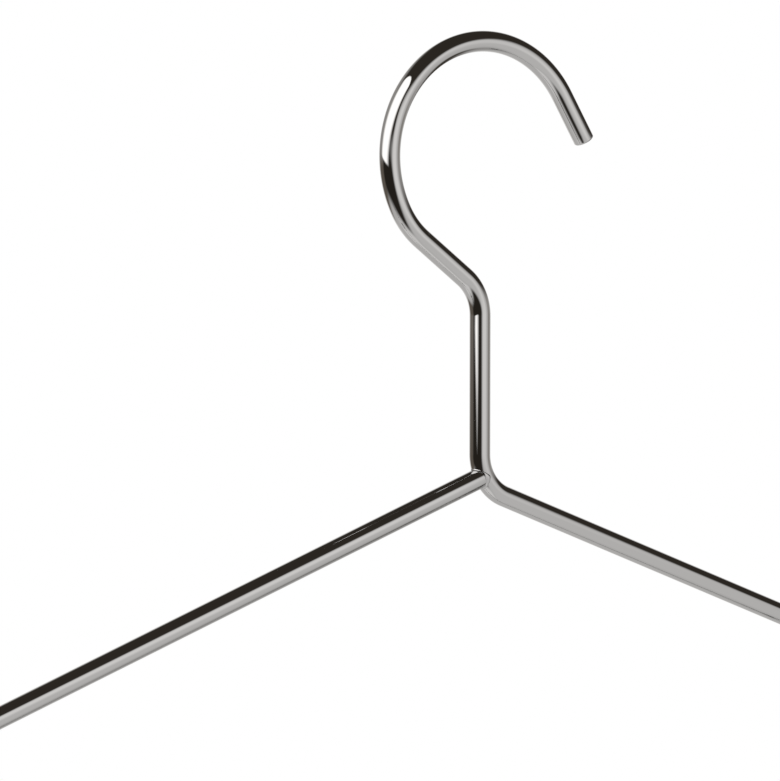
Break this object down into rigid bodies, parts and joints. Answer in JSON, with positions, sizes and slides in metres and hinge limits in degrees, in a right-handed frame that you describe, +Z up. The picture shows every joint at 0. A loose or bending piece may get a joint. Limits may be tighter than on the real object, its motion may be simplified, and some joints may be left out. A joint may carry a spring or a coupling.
{
  "type": "trouser hanger",
  "caption": "Chromed steel rod trouser hanger with an open rail hook, sloping shoulders, a lower bar and sprung clips that slide, swing and open on the bar.",
  "frame": {"origin": "top of the hook's inside, where it rests on a rail", "axes": "+X along the bar towards the hook's open side, +Y away from the viewer, +Z up"},
  "size_m": [0.4199, 0.0332, 0.2425],
  "materials": {
    "rod_chrome": "polished chrome plate on bent steel rod",
    "weld_chrome": "weld polished down and plated with the rod",
    "clip_chrome": "polished chrome plate on stamped sheet steel",
    "spring_steel": "bright drawn spring wire",
    "bush_nylon": "moulded natural nylon",
    "pad_rubber": "moulded black rubber with grip grooves"
  },
  "bodies": {
    "frame": {"hook_rod": "rod_chrome", "left_shoulder_rod": "rod_chrome", "neck_weld": "weld_chrome", "trouser_bar": "rod_chrome", "left_bar_weld": "weld_chrome", "right_bar_weld": "weld_chrome"},
    "left_slider": {"left_bush": "bush_nylon"},
    "left_rear_clip": {"left_rear_jaw": "clip_chrome", "left_rear_pad": "pad_rubber", "left_spring": "spring_steel"},
    "left_front_clip": {"left_front_jaw": "clip_chrome", "left_front_pad": "pad_rubber"},
    "right_slider": {"right_bush": "bush_nylon"},
    "right_rear_clip": {"right_rear_jaw": "clip_chrome", "right_rear_pad": "pad_rubber", "right_spring": "spring_steel"},
    "right_front_clip": {"right_front_jaw": "clip_chrome", "right_front_pad": "pad_rubber"}
  },
  "joints": [
    {"name": "left_clip_slide", "type": "slide", "parent": "frame", "child": "left_slider", "axis": [1, 0, 0], "range_m": [-0.048, 0.1]},
    {"name": "left_clip_swing", "type": "hinge", "parent": "left_slider", "child": "left_rear_clip", "pos_m": [-0.12085, 0, -0.19956], "axis": [1, 0, 0], "range_deg": [-90, 90]},
    {"name": "left_clip_open", "type": "hinge", "parent": "left_rear_clip", "child": "left_front_clip", "pos_m": [-0.12085, 0, -0.19956], "axis": [-1, 0, 0], "range_deg": [0, 25], "stiffness_Nm_per_rad": 0.11, "springref_deg": -80.21, "deforming": ["left_spring"]},
    {"name": "right_clip_slide", "type": "slide", "parent": "frame", "child": "right_slider", "axis": [1, 0, 0], "range_m": [-0.1, 0.048]},
    {"name": "right_clip_swing", "type": "hinge", "parent": "right_slider", "child": "right_rear_clip", "pos_m": [0.11915, 0, -0.19956], "axis": [1, 0, 0], "range_deg": [-90, 90]},
    {"name": "right_clip_open", "type": "hinge", "parent": "right_rear_clip", "child": "right_front_clip", "pos_m": [0.11915, 0, -0.19956], "axis": [-1, 0, 0], "range_deg": [0, 25], "stiffness_Nm_per_rad": 0.11, "springref_deg": -80.21, "deforming": ["right_spring"]}
  ]
}
